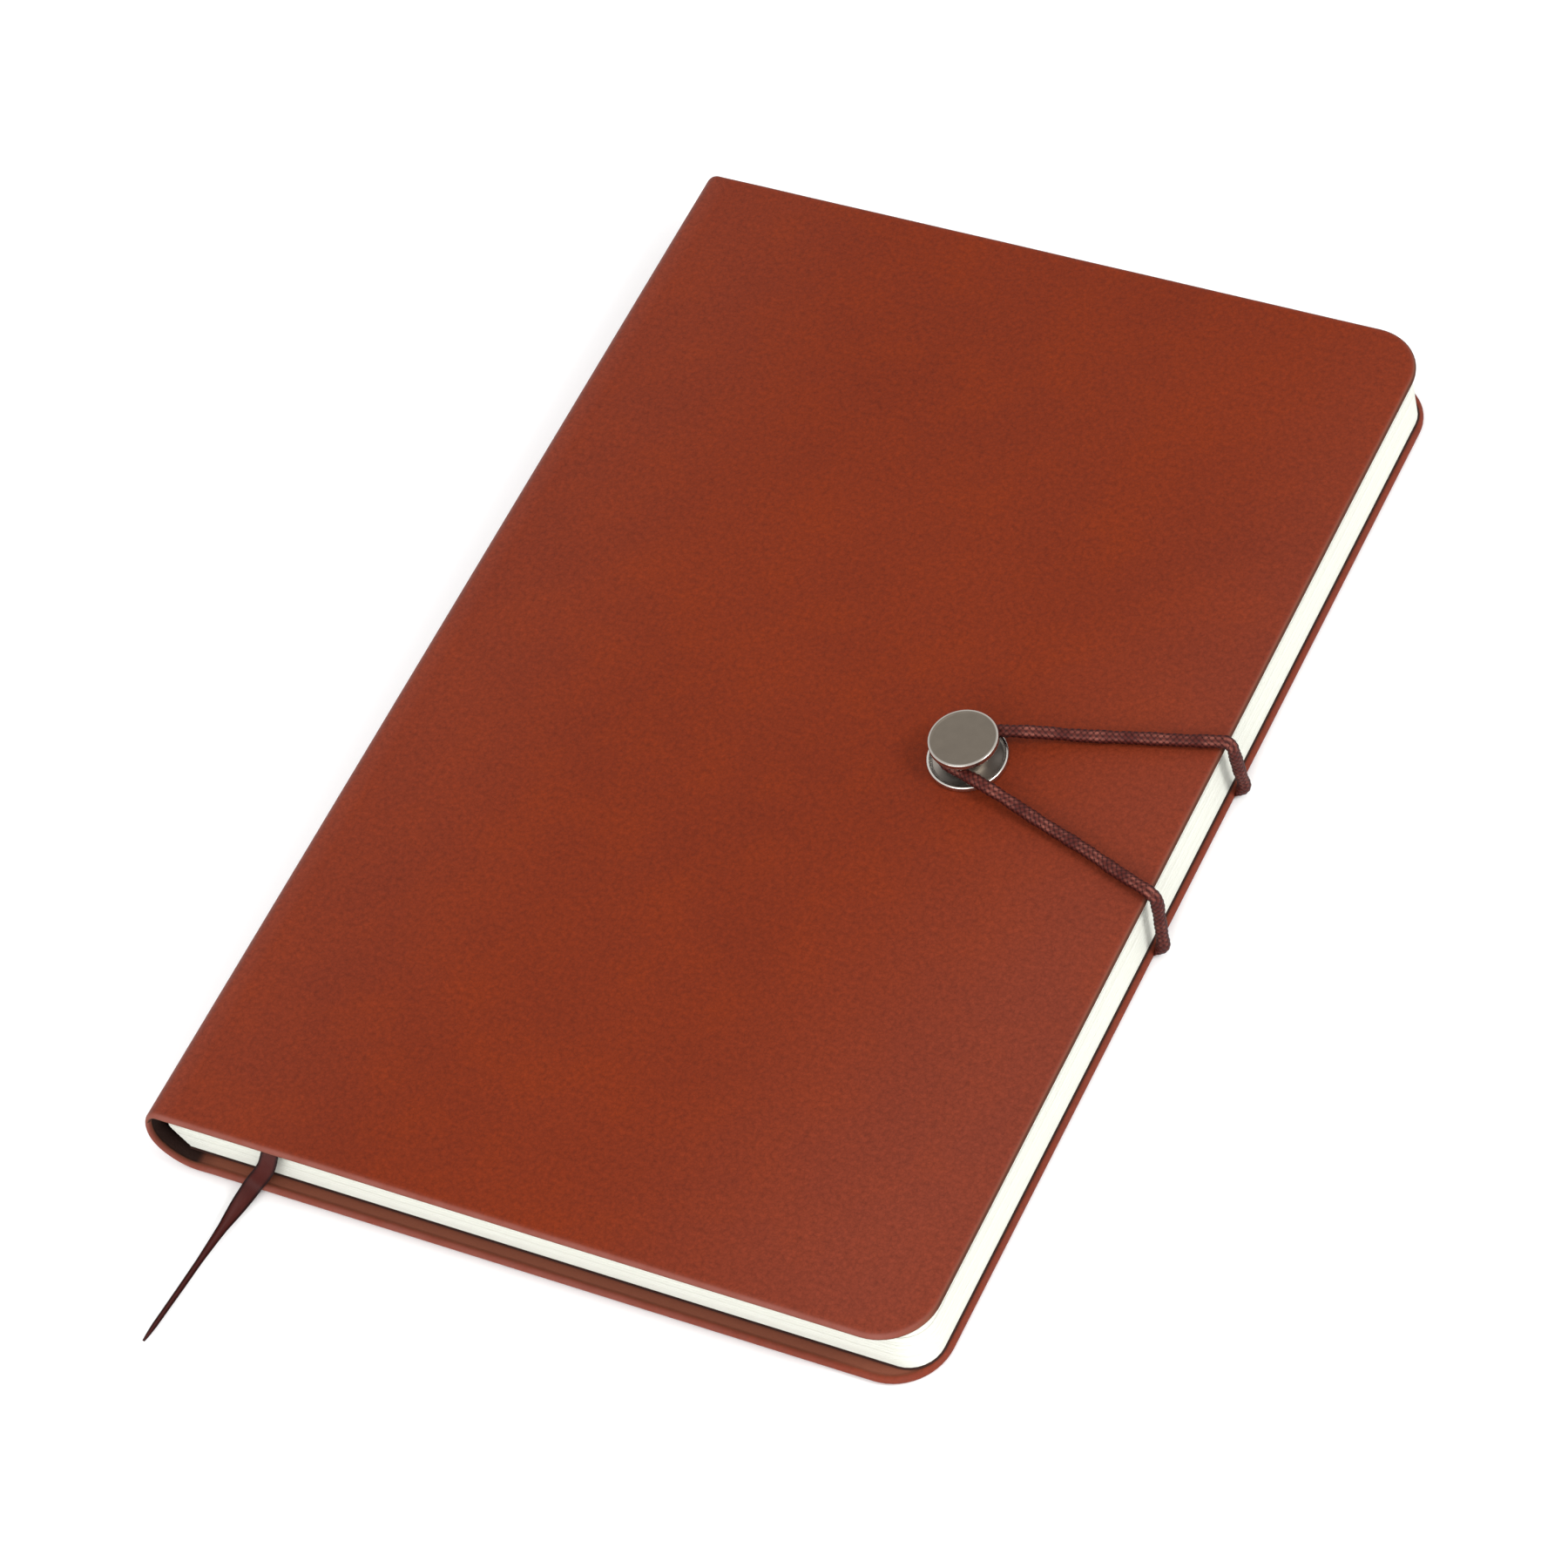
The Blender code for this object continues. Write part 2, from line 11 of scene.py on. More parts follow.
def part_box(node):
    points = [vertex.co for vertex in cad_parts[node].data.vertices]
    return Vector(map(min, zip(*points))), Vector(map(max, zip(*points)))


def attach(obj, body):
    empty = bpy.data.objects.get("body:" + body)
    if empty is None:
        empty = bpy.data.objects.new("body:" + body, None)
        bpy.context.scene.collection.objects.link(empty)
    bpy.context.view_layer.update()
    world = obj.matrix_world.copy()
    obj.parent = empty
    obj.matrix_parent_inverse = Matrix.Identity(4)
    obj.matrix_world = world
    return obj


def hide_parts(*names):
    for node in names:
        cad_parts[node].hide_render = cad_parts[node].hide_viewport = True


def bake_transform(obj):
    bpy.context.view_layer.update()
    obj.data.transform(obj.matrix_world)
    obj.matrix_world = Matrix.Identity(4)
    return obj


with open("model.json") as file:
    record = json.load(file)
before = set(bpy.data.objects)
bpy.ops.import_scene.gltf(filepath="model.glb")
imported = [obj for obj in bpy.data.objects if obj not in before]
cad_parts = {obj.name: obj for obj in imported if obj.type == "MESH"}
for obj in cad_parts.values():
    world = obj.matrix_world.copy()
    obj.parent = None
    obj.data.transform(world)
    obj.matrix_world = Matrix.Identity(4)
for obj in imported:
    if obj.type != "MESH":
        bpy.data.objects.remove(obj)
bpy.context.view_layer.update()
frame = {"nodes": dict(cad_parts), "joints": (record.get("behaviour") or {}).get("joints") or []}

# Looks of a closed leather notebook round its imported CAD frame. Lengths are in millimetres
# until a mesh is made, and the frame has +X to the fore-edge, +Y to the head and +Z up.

MM = 0.001
JOINTS = {joint["name"]: joint for joint in frame["joints"]}


def box_mm(node):
    low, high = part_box(node)
    return np.array(low) / MM, np.array(high) / MM


def joint_mm(name):
    return np.array(JOINTS[name]["pos_m"]) / MM


def smooth_step(value, low, high):
    share = np.clip((value - low) / (high - low), 0, 1)
    return share * share * (3 - 2 * share)


FRONT_LOW, FRONT_HIGH = box_mm("front_cover_leather")
FORE = FRONT_HIGH[0]
TAIL = FRONT_LOW[1]
HEAD = FRONT_HIGH[1]
TOP = FRONT_HIGH[2]
SPINE_LEFT = min(box_mm("back_cover_leather")[0][0], box_mm("spine_leather")[0][0])
CREASE = joint_mm("front_cover_hinge")
SPLIT = joint_mm("spine_hinge")
SPINE_MIDDLE = 7.4  # height at which the spine reaches furthest out
LOWER_X = FORE - 130.5  # where the spine's curve meets the flat back
THICK = 1.45  # a whole cover
TURNED = 0.35  # the leather turned in over the board
OUTER_SKIN = 0.4  # the leather outside the board
CORNER = 9.5
RIM = THICK / 2
POCKET = 0.9  # from the rim to the board's edge

# ---------------------------------------------------------------- materials


def new_material(name):
    material = bpy.data.materials.new(name)
    material.use_nodes = True
    tree = material.node_tree
    tree.nodes.clear()
    output = tree.nodes.new("ShaderNodeOutputMaterial")
    shader = tree.nodes.new("ShaderNodeBsdfPrincipled")
    tree.links.new(shader.outputs["BSDF"], output.inputs["Surface"])
    return material, tree, shader


def connect(tree, value, socket):
    if isinstance(value, bpy.types.NodeSocket):
        tree.links.new(value, socket)
    else:
        socket.default_value = value


def node(tree, kind, inputs, output=0, **settings):
    made = tree.nodes.new(kind)
    for key, value in settings.items():
        setattr(made, key, value)
    for key, value in inputs.items():
        connect(tree, value, made.inputs[key])
    return made.outputs[output]


def attribute(tree, name, output="Vector"):
    return node(tree, "ShaderNodeAttribute", {}, output, attribute_name=name)


def noise(tree, vector, scale, detail=3.0, roughness=0.55):
    inputs = {"Vector": vector, "Scale": scale, "Detail": detail, "Roughness": roughness}
    return node(tree, "ShaderNodeTexNoise", inputs, "Fac")


def voronoi(tree, vector, scale, feature="F1"):
    inputs = {"Vector": vector, "Scale": scale}
    return node(tree, "ShaderNodeTexVoronoi", inputs, "Distance", feature=feature)


def stretch(tree, vector, scale):
    inputs = {"Vector": vector, "Scale": scale}
    return node(tree, "ShaderNodeMapping", inputs, "Vector")


def remap(tree, value, low, high, new_low=0.0, new_high=1.0):
    inputs = {"Value": value, 1: low, 2: high, 3: new_low, 4: new_high}
    return node(tree, "ShaderNodeMapRange", inputs, 0)


def maths(tree, operation, a, b=0.0):
    return node(tree, "ShaderNodeMath", {0: a, 1: b}, 0, operation=operation)


def mix(tree, factor, a, b, blend="MIX"):
    inputs = {0: factor, 6: a, 7: b}
    return node(tree, "ShaderNodeMix", inputs, 2, data_type="RGBA", blend_type=blend)


def bump(tree, height, strength, distance, normal=None):
    inputs = {"Height": height, "Strength": strength, "Distance": distance}
    if normal is not None:
        inputs["Normal"] = normal
    return node(tree, "ShaderNodeBump", inputs, "Normal")


def rgb(red, green, blue):
    """Linear colour of an sRGB one given in 0 to 255."""
    linear = []
    for channel in (red, green, blue):
        c = channel / 255
        linear.append(c / 12.92 if c <= 0.04045 else ((c + 0.055) / 1.055) ** 2.4)
    return (*linear, 1.0)


def grey(tree, value):
    return node(tree, "ShaderNodeCombineColor", {0: value, 1: value, 2: value})


def product(tree, a, b):
    return maths(tree, "MULTIPLY", a, b)


def surface(shader, roughness=None, specular=None, metallic=None):
    settings = {"Roughness": roughness, "Specular IOR Level": specular, "Metallic": metallic}
    for key, value in settings.items():
        if value is not None:
            shader.inputs[key].default_value = value


def leather_material(name, dark, light, warm, rim, turn_in, painted_shade):
    """Smooth waxed leather. The mesh's edge marks the rolled rim, worn pale and partly a painted
    highlight; the sheen value marks a painted sheen of paler leather; inside marks the turned-in
    leather (0.5) and painted shade (1) in the spine's hollow, under the front cover's edge and along
    its edge away from the tail."""
    material, tree, shader = new_material(name)
    rest = attribute(tree, "rest")
    edge = attribute(tree, "edge", "Fac")
    inside = attribute(tree, "inside", "Fac")
    haze = attribute(tree, "haze", "Fac")
    cloud = remap(tree, noise(tree, rest, 0.02, 5.0, 0.6), 0.34, 0.66)
    patch = remap(tree, noise(tree, rest, 0.085, 5.0, 0.62), 0.45, 0.66)
    fleck = noise(tree, rest, 1.1, 4.0, 0.7)
    creases = voronoi(tree, rest, 1.25, "DISTANCE_TO_EDGE")
    colour = mix(tree, cloud, dark, light)
    colour = mix(tree, product(tree, patch, 0.6), colour, warm)
    # painted sheen: paler leather towards the fore-edge, the tail and the spine
    colour = mix(tree, haze, colour, rim)
    shade = remap(tree, fleck, 0.3, 0.7, 0.78, 1.22)
    # painted shade: darker in the grain's creases
    crease_shade = remap(tree, creases, 0.0, 0.1, 0.86, 1.0)
    colour = mix(tree, 1.0, colour, grey(tree, product(tree, shade, crease_shade)), "MULTIPLY")
    # pale rolled rim: partly wear, partly a painted highlight
    rubbed = remap(tree, noise(tree, rest, 0.3, 3.0), 0.3, 0.6, 0.7, 1.0)
    rim_wear_and_highlight = product(tree, edge, rubbed)
    colour = mix(tree, rim_wear_and_highlight, colour, rim)
    colour = mix(tree, remap(tree, inside, 0.0, 0.5), colour, turn_in)
    # painted shade: the dark colour of the spine's hollow and under the front's edge
    colour = mix(tree, remap(tree, inside, 0.5, 1.0), colour, painted_shade)
    connect(tree, colour, shader.inputs["Base Color"])
    rough = remap(tree, fleck, 0.3, 0.7, 0.5, 0.62)
    rough = maths(tree, "ADD", rough, product(tree, inside, 0.2))
    connect(tree, rough, shader.inputs["Roughness"])
    surface(shader, specular=0.1)
    pores = voronoi(tree, rest, 2.6)
    normal = bump(tree, noise(tree, rest, 0.11, 3.0), 0.3, 0.0005)
    normal = bump(tree, creases, 0.4, 0.0001, normal)
    normal = bump(tree, fleck, 0.5, 0.0001, normal)
    normal = bump(tree, pores, 0.1, 0.00005, normal)
    connect(tree, normal, shader.inputs["Normal"])
    return material


def paper_material(name, face_tint, tint, edge_tint, contrast):
    """Uncoated paper; the cut edges show their leaves as fine level lines."""
    material, tree, shader = new_material(name)
    rest = attribute(tree, "rest")
    edge = attribute(tree, "edge", "Fac")
    pulp = noise(tree, rest, 0.9, 5.0, 0.7)
    leaves = noise(tree, stretch(tree, rest, (0.035, 0.035, 11.0)), 1.0, 2.0, 0.6)
    flat = mix(tree, remap(tree, pulp, 0.3, 0.7, 0.0, 0.1), face_tint, edge_tint)
    lines = mix(tree, remap(tree, leaves, 0.3, 0.62, contrast, 0.0), tint, edge_tint)
    connect(tree, mix(tree, edge, flat, lines), shader.inputs["Base Color"])
    surface(shader, roughness=0.88, specular=0.25)
    normal = bump(tree, pulp, 0.14, 0.00005)
    normal = bump(tree, product(tree, leaves, edge), 0.3, 0.00006, normal)
    connect(tree, normal, shader.inputs["Normal"])
    return material


def cord_material():
    """Waxed braid, dark maroon, with two rows of lighter dashes along its lit side; it is painted
    dark in the braid's valleys and on the side away from the light.
    """
    material, tree, shader = new_material("braided_cord")
    rest = attribute(tree, "rest")
    crest_and_shade = attribute(tree, "edge", "Fac")
    dash = attribute(tree, "dash", "Fac")
    yarn = noise(tree, rest, 5.5, 4.0, 0.7)
    # painted shade: dark in the braid's valleys and away from the light, lighter on its lit crests
    colour = mix(tree, crest_and_shade, rgb(28, 8, 8), rgb(78, 27, 22))
    light = product(tree, dash, remap(tree, yarn, 0.35, 0.6, 0.3, 1.0))
    colour = mix(tree, product(tree, light, 0.95), colour, rgb(138, 80, 68))
    connect(tree, colour, shader.inputs["Base Color"])
    surface(shader, roughness=0.5, specular=0.12)
    connect(tree, bump(tree, yarn, 0.5, 0.00006), shader.inputs["Normal"])
    return material


def ribbon_material():
    """Satin ribbon: fine ribs across, and painted shade darkening it along each side."""
    material, tree, shader = new_material("satin_ribbon")
    rest = attribute(tree, "rest")
    edge_shade = attribute(tree, "edge", "Fac")
    ribs = node(
        tree, "ShaderNodeTexWave",
        {"Vector": rest, "Scale": 1.3, "Distortion": 0.6, "Detail": 2.0, "Detail Scale": 1.5},
        "Fac", bands_direction="Y",
    )
    threads = noise(tree, stretch(tree, rest, (9.0, 0.5, 1.0)), 1.0, 4.0, 0.7)
    colour = mix(tree, threads, rgb(44, 14, 13), rgb(82, 34, 29))
    # painted shade along both sides of the ribbon
    colour = mix(tree, product(tree, edge_shade, 0.9), colour, rgb(22, 7, 8))
    connect(tree, colour, shader.inputs["Base Color"])
    connect(tree, remap(tree, threads, 0.3, 0.7, 0.38, 0.55), shader.inputs["Roughness"])
    surface(shader, specular=0.12)
    normal = bump(tree, ribs, 0.35, 0.00006)
    connect(tree, bump(tree, threads, 0.3, 0.00005, normal), shader.inputs["Normal"])
    return material


def metal_material(name, tint, polish_and_highlight):
    """Satin plated metal with faint turning marks. The mesh's edge marks where it is bright, partly
    polished and partly a painted highlight, and the first number of its rest is the distance from
    the turning axis."""
    material, tree, shader = new_material(name)
    rest = attribute(tree, "rest")
    edge = attribute(tree, "edge", "Fac")
    radius = node(tree, "ShaderNodeSeparateXYZ", {0: rest}, "X")
    rings = node(tree, "ShaderNodeCombineXYZ", {"X": radius}, 0)
    turning = noise(tree, rings, 9.0, 4.0, 0.8)
    smudge = noise(tree, attribute(tree, "place"), 0.5, 4.0, 0.6)
    cast = grey(tree, remap(tree, smudge, 0.3, 0.7, 0.95, 1.05))
    colour = mix(tree, 1.0, tint, cast, "MULTIPLY")
    # painted highlight: the rim's metal turns paler, partly as polish
    connect(tree, mix(tree, edge, colour, polish_and_highlight), shader.inputs["Base Color"])
    surface(shader, metallic=1.0)
    rough = remap(tree, maths(tree, "ADD", turning, smudge), 0.7, 1.3, 0.36, 0.46)
    rough = maths(tree, "SUBTRACT", rough, product(tree, edge, 0.16))
    connect(tree, rough, shader.inputs["Roughness"])
    connect(tree, bump(tree, turning, 0.05, 0.00003), shader.inputs["Normal"])
    return material


def card_material(name, low, high, metallic=0.0):
    """Pressed card with visible fibres, or brushed plain metal."""
    material, tree, shader = new_material(name)
    place = node(tree, "ShaderNodeTexCoord", {}, "Object")
    fibre = noise(tree, stretch(tree, place, (1200.0, 500.0, 1200.0)), 1.0, 6.0, 0.75)
    connect(tree, mix(tree, fibre, low, high), shader.inputs["Base Color"])
    surface(shader, roughness=0.9, metallic=metallic)
    connect(tree, bump(tree, fibre, 0.4, 0.0001), shader.inputs["Normal"])
    return material


def mull_material():
    """Open cotton weave soaked with glue."""
    material, tree, shader = new_material("cotton_mull")
    place = node(tree, "ShaderNodeTexCoord", {}, "Object")
    bands = []
    for direction in ("Y", "Z"):
        bands.append(node(
            tree, "ShaderNodeTexWave", {"Vector": place, "Scale": 420.0, "Distortion": 0.8},
            "Fac", bands_direction=direction,
        ))
    weave = maths(tree, "MAXIMUM", bands[0], bands[1])
    colour = mix(tree, weave, rgb(150, 132, 100), rgb(228, 222, 205))
    connect(tree, colour, shader.inputs["Base Color"])
    surface(shader, roughness=0.9)
    connect(tree, bump(tree, weave, 0.8, 0.0001), shader.inputs["Normal"])
    return material


# ---------------------------------------------------------------- mesh helpers


def finish_mesh(name, points, faces, material, angle=40, **layers):
    """Object from points in millimetres; each layer is a per-point value the material reads."""
    mesh = bpy.data.meshes.new(name)
    mesh.from_pydata([tuple(p) for p in np.asarray(points) * MM], [], faces)
    for label, values in layers.items():
        values = np.asarray(values, np.float32)
        vector = values.ndim == 2
        layer = mesh.attributes.new(label, "FLOAT_VECTOR" if vector else "FLOAT", "POINT")
        layer.data.foreach_set("vector" if vector else "value", values.ravel())
    solid = bmesh.new()
    solid.from_mesh(mesh)
    bmesh.ops.remove_doubles(solid, verts=solid.verts, dist=1e-7)
    bmesh.ops.recalc_face_normals(solid, faces=solid.faces)
    solid.to_mesh(mesh)
    solid.free()
    mesh.materials.append(material)
    mesh.shade_smooth()
    mesh.set_sharp_from_angle(angle=math.radians(angle))
    made = bpy.data.objects.new(name, mesh)
    bpy.context.scene.collection.objects.link(made)
    return made


def sheet(stations, width, corner, corner_steps, profile):
    """Closed sheet with round corners at its far end. The near end, u = 0, is a flat cut.
    stations are the u values up to the corner's centre, width is (y0, y1, steps), and profile
    is the list of (inset, depth) loops from the middle of one face round the rim to the other.
    Returns the (u, y, depth) points, the faces, and each point's loop number."""
    y0, y1, y_steps = width
    u_corner = stations[-1]
    rows = np.linspace(y0 + corner, y1 - corner, y_steps + 1)
    flat, loop, rings, faces = [], [], [], []
    for inset, depth in profile:
        radius = corner - inset
        ring = [(u, y0 + inset) for u in stations]
        bend = [math.pi / 2 * k / corner_steps for k in range(1, corner_steps)]
        ring += [(u_corner + radius * math.sin(a), y0 + corner - radius * math.cos(a)) for a in bend]
        ring += [(u_corner + radius, y) for y in rows]
        ring += [(u_corner + radius * math.cos(a), y1 - corner + radius * math.sin(a)) for a in bend]
        ring += [(u, y1 - inset) for u in reversed(stations)]
        rings.append(list(range(len(flat), len(flat) + len(ring))))
        loop += [len(rings) - 1] * len(ring)
        flat += [(u, y, depth) for u, y in ring]
    count = len(rings[0])
    for first, second in zip(rings, rings[1:]):
        for i in range(count - 1):
            faces.append((first[i], first[i + 1], second[i + 1], second[i]))
    n = len(stations)
    fore = n + corner_steps - 1
    ends = []
    for k in (0, len(rings) - 1):
        ring, depth = rings[k], profile[k][1]
        grid = [[None] * (y_steps + 1) for _ in range(n)]
        for i in range(n):
            grid[i][0] = ring[i]
            grid[i][y_steps] = ring[count - 1 - i]
        for j in range(1, y_steps):
            grid[n - 1][j] = ring[fore + j]
            for i in range(n - 1):
                grid[i][j] = len(flat)
                flat.append((stations[i], rows[j], depth))
                loop.append(k)
        for i in range(n - 1):
            for j in range(y_steps):
                faces.append((grid[i][j], grid[i + 1][j], grid[i + 1][j + 1], grid[i][j + 1]))
        ends.append(grid[0])
    outer, under = ends
    for j in range(y_steps):
        faces.append((outer[j], outer[j + 1], under[j + 1], under[j]))
    faces.append(tuple(ring[0] for ring in rings))
    faces.append(tuple(ring[-1] for ring in rings))
    return np.array(flat, float), faces, np.array(loop)


def smooth_path(controls, step):
    """Evenly spaced points on a Catmull-Rom curve through the control points."""
    controls = [np.array(c, float) for c in controls]
    padded = [2 * controls[0] - controls[1], *controls, 2 * controls[-1] - controls[-2]]
    dense = []
    for a, b, c, d in zip(padded, padded[1:], padded[2:], padded[3:]):
        for t in np.linspace(0, 1, 40, endpoint=False):
            dense.append(0.5 * (2 * b + (c - a) * t + (2 * a - 5 * b + 4 * c - d) * t * t
                                + (3 * b - a - 3 * c + d) * t ** 3))
    dense.append(controls[-1])
    dense = np.array(dense)
    lengths = np.r_[0, np.cumsum(np.linalg.norm(np.diff(dense, axis=0), axis=1))]
    count = max(4, int(round(lengths[-1] / step)))
    at = np.linspace(0, lengths[-1], count + 1)
    path = np.stack([np.interp(at, lengths, dense[:, k]) for k in range(3)], 1)
    return path, at


def path_frames(path, start):
    """Unit (across, up) at each point, carried along without twisting."""
    along = np.gradient(path, axis=0)
    along /= np.linalg.norm(along, axis=1)[:, None]
    across = np.array(start, float)
    frames = []
    for tangent in along:
        across = across - across @ tangent * tangent
        across /= np.linalg.norm(across)
        frames.append((across.copy(), np.cross(tangent, across)))
    return frames


# ---------------------------------------------------------------- leather case


def spine_contour():
    """Points, arc lengths and outward normals from the front crease down to the flat back."""
    upper = np.radians(np.linspace(90, 180, 241))
    lower = np.radians(np.linspace(180, 270, 241))[1:]
    reach = CREASE[0] - SPINE_LEFT
    x = np.r_[CREASE[0] + reach * np.cos(upper), LOWER_X + (LOWER_X - SPINE_LEFT) * np.cos(lower)]
    z = np.r_[SPINE_MIDDLE + (TOP - SPINE_MIDDLE) * np.sin(upper),
              SPINE_MIDDLE + SPINE_MIDDLE * np.sin(lower)]
    lengths = np.r_[0, np.cumsum(np.hypot(np.diff(x), np.diff(z)))]
    dx, dz = np.gradient(x, lengths), np.gradient(z, lengths)
    size = np.hypot(dx, dz)
    normals = np.stack([dz / size, -dx / size], 1)
    normals[0] = (0, 1)
    normals[-1] = (0, -1)
    return x, z, lengths, normals


CURVE_X, CURVE_Z, CURVE_S, CURVE_N = spine_contour()
CURVE_LENGTH = CURVE_S[-1]
SPLIT_S = float(np.interp(-SPLIT[2], -CURVE_Z, CURVE_S))
SEAM = SPLIT_S / 2  # the two skins meet half-way from the front crease to the CAD split


def on_case(s, y, depth):
    """Place on the case: s runs from the front crease (0) down the spine to the back."""
    x = np.interp(s, CURVE_S, CURVE_X)
    z = np.interp(s, CURVE_S, CURVE_Z)
    normal_x = np.interp(s, CURVE_S, CURVE_N[:, 0])
    normal_z = np.interp(s, CURVE_S, CURVE_N[:, 1])
    x = x + np.where(s < 0, -s, 0) + np.where(s > CURVE_LENGTH, s - CURVE_LENGTH, 0)
    return np.stack([x - normal_x * depth, y, z - normal_z * depth], 1)


def waves(s, y):
    """Slight rise and fall of soft leather over its board, 0 to 1."""
    a = np.sin(s * 0.071 + 0.8 * np.sin(y * 0.031)) * np.cos(y * 0.043 + 0.6)
    b = np.sin(s * 0.19 + y * 0.11) * np.sin(y * 0.083 - s * 0.057 + 1.3)
    return 0.5 + 0.32 * a + 0.18 * b


FACE_LOOPS = 6
RIM_LOOPS = 11


def skin_profile():
    """(inset, depth) loops of a skin: outer face, rounded rim, turn-in, recess for the board."""
    loops = [(inset, 0.0) for inset in (CORNER, 7.0, 4.6, 3.0, 1.9, 1.2)]
    for k in range(RIM_LOOPS):
        angle = math.pi * k / (RIM_LOOPS - 1)
        loops.append((RIM - RIM * math.sin(angle), RIM - RIM * math.cos(angle)))
    loops += [(0.95, THICK - 0.02), (1.12, THICK - 0.1), (1.26, THICK - 0.12), (1.4, THICK - 0.1),
              (1.6, THICK - 0.01), (2.6, THICK), (3.3, THICK - 0.02), (3.55, THICK - 0.1),
              (3.62, THICK - TURNED), (POCKET, THICK - TURNED), (POCKET, OUTER_SKIN),
              (3.6, OUTER_SKIN), (CORNER, OUTER_SKIN)]
    return loops


SKIN = skin_profile()
SKIN_INSET = np.array([inset for inset, _ in SKIN])
RIM_END = FACE_LOOPS + RIM_LOOPS
RECESS = len(SKIN) - 4  # first loop inside the pocket
SPINE_THINNER = 0.4  # share by which the leather thins round the spine
SWELL = 0.13  # the most that the front's leather rises over its board


def skin_marks(s, y, x, depth, loop, front):
    """The edge and inside values that the leather material reads: a pale rim that is partly a
    painted highlight, and the turn-in with painted shade in the spine's hollow, under the front
    cover's edge and along its edge away from the tail.
    """
    inset = SKIN_INSET[loop]
    if front:
        # The front's rim is pale on its upper part and on the tail side: partly wear, partly a
        # painted highlight where the light falls.
        edge = np.interp(inset, (0.35, 0.8), (1.0, 0.0)) * (loop < RIM_END)
        edge *= np.interp(depth, (0.4 * THICK, 0.75 * THICK), (1.0, 0.0))
        edge *= np.interp(y, (TAIL + 1.5, TAIL + 9.0), (1.0, 0.35))
    else:
        # The back's rim is paler on its upper part and away from the fore-edge.
        edge = np.interp(inset, (0.5, 1.0), (0.8, 0.0)) * (loop < RIM_END + 2)
        edge *= np.interp(depth, (0.1 * THICK, 0.45 * THICK), (0.3, 1.0))
        edge *= np.interp(x, (10.0, 62.0), (1.0, 0.4))
    # Painted shade: along the spine the turned-in band takes the hollow's dark colour.
    spine = smooth_step(s, 0.5, 2.0)
    spine *= 1 - smooth_step(s, CURVE_LENGTH - 1.5, CURVE_LENGTH + 1.0)
    band = np.where(loop >= RIM_END - 1, np.interp(inset, (0.5, 1.1), (0.0, 1.0)), 0.0)
    band = np.where(loop >= RECESS, 1.0, band)
    inside = band * (0.5 + 0.5 * np.maximum(spine, loop >= RECESS))
    if front:
        # Painted shade under the front cover's edge: the lower part of its edge wall is darkened.
        under = np.interp(depth, (0.4 * THICK, 0.75 * THICK), (0.0, 0.85)) * (inset < 1.0)
        inside = np.maximum(inside, under)
        # Painted shade: a thin dark line along the front's outer edge away from the tail.
        shade_off_tail = np.interp(y, (TAIL + 1.5, TAIL + 9.0), (0.0, 1.0)) * (loop < RIM_END)
        inside = np.maximum(inside, shade_off_tail * np.interp(inset, (0.12, 0.5), (0.8, 0.0)))
    return edge, inside


def skin_haze(x, y):
    """Painted sheen: paler leather towards the fore-edge, the tail and the spine."""
    across = x / FORE
    near = -y / HEAD
    haze = 0.24 * smooth_step(across + 0.35 * near, 0.3, 1.3)
    haze = haze + 0.09 * smooth_step(-across, 0.3, 1.0)
    return haze + 0.3 * smooth_step(-across, 0.92, 1.0)


def build_skin(name, material, front):
    """Skin of one cover with its part of the spine. u = 0 is the seam, high on the spine."""
    sign = -1 if front else 1
    curved = SEAM if front else CURVE_LENGTH - SEAM
    flat_length = (FORE - CREASE[0]) if front else (FORE - LOWER_X)
    stations = list(np.linspace(0, curved, 24 if front else 36))
    stations += list(np.linspace(curved, curved + flat_length - CORNER, 48))[1:]
    flat, faces, loop = sheet(stations, (TAIL, HEAD, 64), CORNER, 14, SKIN)
    s = SEAM + sign * flat[:, 0]
    bare = smooth_step(s, -1.0, 4.0)
    bare *= 1 - smooth_step(s, CURVE_LENGTH - 3.5, CURVE_LENGTH + 2.5)
    depth = flat[:, 2] * (1 - SPINE_THINNER * bare)
    if front:
        depth -= np.clip((-s - 1) / 8, 0, 1) * SWELL * waves(s, flat[:, 1])
    points = on_case(s, flat[:, 1], depth)
    edge, inside = skin_marks(s, flat[:, 1], points[:, 0], flat[:, 2], loop, front)
    haze = skin_haze(points[:, 0], points[:, 1]) if front else np.zeros(len(s))
    made = finish_mesh(name, points, faces, material, 50, edge=edge, inside=inside, haze=haze,
                       rest=np.stack([s, flat[:, 1], flat[:, 2]], 1))
    return made


def build_case(leather):
    front = build_skin("front_leather_skin", leather, True)
    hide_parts("front_cover_leather", "spine_leather")
    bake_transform(front)
    back = build_skin("back_leather_skin", leather, False)
    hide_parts("back_cover_leather")
    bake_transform(back)


# ---------------------------------------------------------------- paper

PAGE_CORNER = 5.5
PASTED_CORNER = 5.6
LEAVES = 14  # leaf edges shown on a section's side
FOLD = 9.0  # length near its fold over which a turned section's rings lie close
FOLD_STEP = 0.35
SLANT = 12.0  # how far in from the spine side the slant reaches
BLOCK_HEIGHTS = (1.7, 6.0, 9.0, 12.45)
BLOCK_WIDTHS = (133.6, 136.3, 136.25, 135.75)  # from the fore-edge, at those heights
SHADE_LINE_PROUD = 0.35  # how far the last, dark leaf stands out past the pages, as a painted shadow line under them
STIFF_GAP = 1.0  # a single leaf that turns starts this far from the block's spine side


